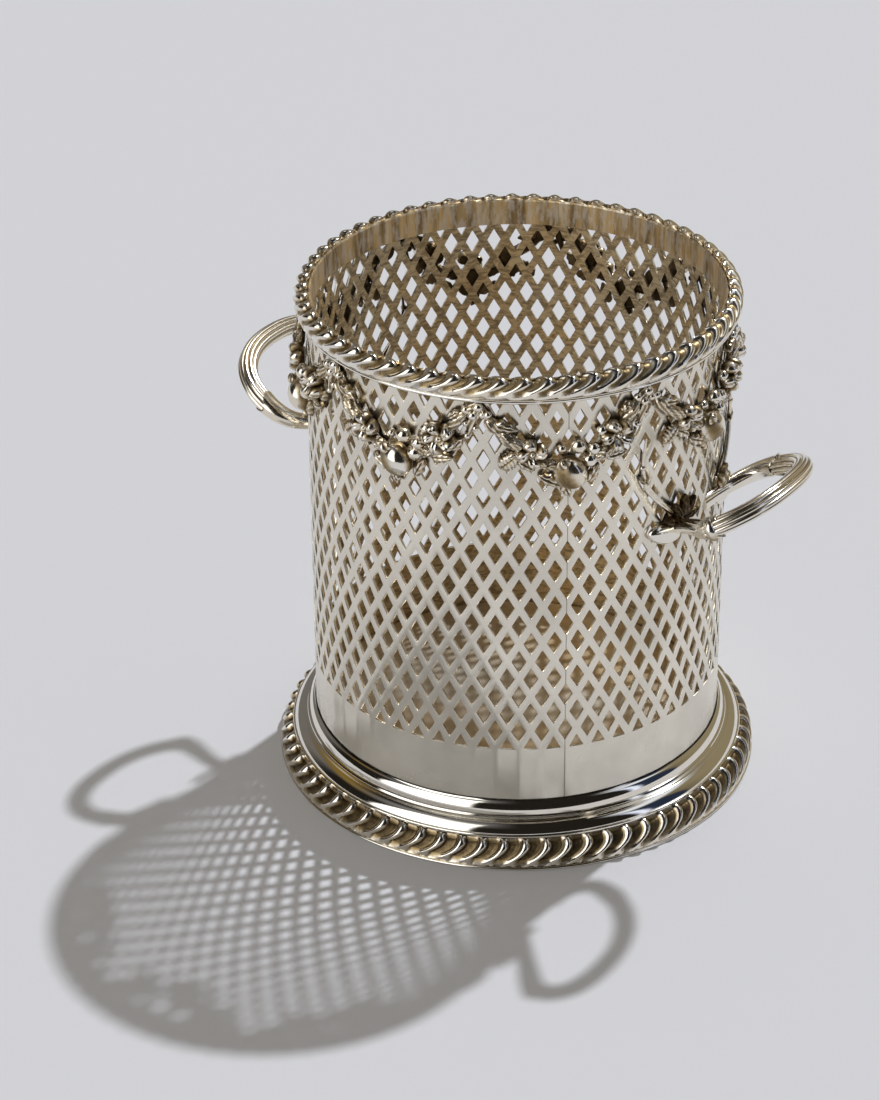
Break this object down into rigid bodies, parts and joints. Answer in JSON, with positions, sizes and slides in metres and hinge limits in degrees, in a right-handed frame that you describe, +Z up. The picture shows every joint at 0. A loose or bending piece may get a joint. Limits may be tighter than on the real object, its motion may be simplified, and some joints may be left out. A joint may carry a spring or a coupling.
{
  "type": "bottle holder",
  "caption": "Round footed bottle holder with a pierced diamond lattice wall, gadroon rim and foot, festoons and loop handles.",
  "frame": {"origin": "on the ground at the centre of the foot", "axes": "+Z up along the drum's axis; the two handles lie along +X and -X; the front is -Y"},
  "size_m": [0.1846, 0.147, 0.1567],
  "materials": {
    "satin_silver": "satin silver plate, slightly warm",
    "polished_silver": "mirror-polished silver plate",
    "cast_silver": "bright cast silver plate with darkened hollows",
    "aged_silver": "tarnished silver plate, brown and mottled"
  },
  "bodies": {
    "root": {"drum": "satin_silver", "floor_plate": "aged_silver", "rim_gadroon": "cast_silver", "rim_flange": "polished_silver", "rim_collar": "aged_silver", "foot_moulding": "polished_silver", "foot_gadroon": "cast_silver", "foot_edge": "polished_silver", "festoon_1": "cast_silver", "festoon_joint_1": "cast_silver", "festoon_2": "cast_silver", "festoon_joint_2": "cast_silver", "festoon_3": "cast_silver", "festoon_joint_3": "cast_silver", "festoon_4": "cast_silver", "festoon_joint_4": "cast_silver", "festoon_5": "cast_silver", "festoon_joint_5": "cast_silver", "festoon_6": "cast_silver", "festoon_joint_6": "cast_silver", "festoon_7": "cast_silver", "festoon_joint_7": "cast_silver", "festoon_8": "cast_silver", "festoon_joint_8": "cast_silver", "handle_right_loop": "cast_silver", "handle_right_strut_near": "cast_silver", "handle_right_spray_near": "cast_silver", "handle_right_strut_far": "cast_silver", "handle_right_spray_far": "cast_silver", "handle_left_loop": "cast_silver", "handle_left_strut_near": "cast_silver", "handle_left_spray_near": "cast_silver", "handle_left_strut_far": "cast_silver", "handle_left_spray_far": "cast_silver"}
  },
  "joints": []
}
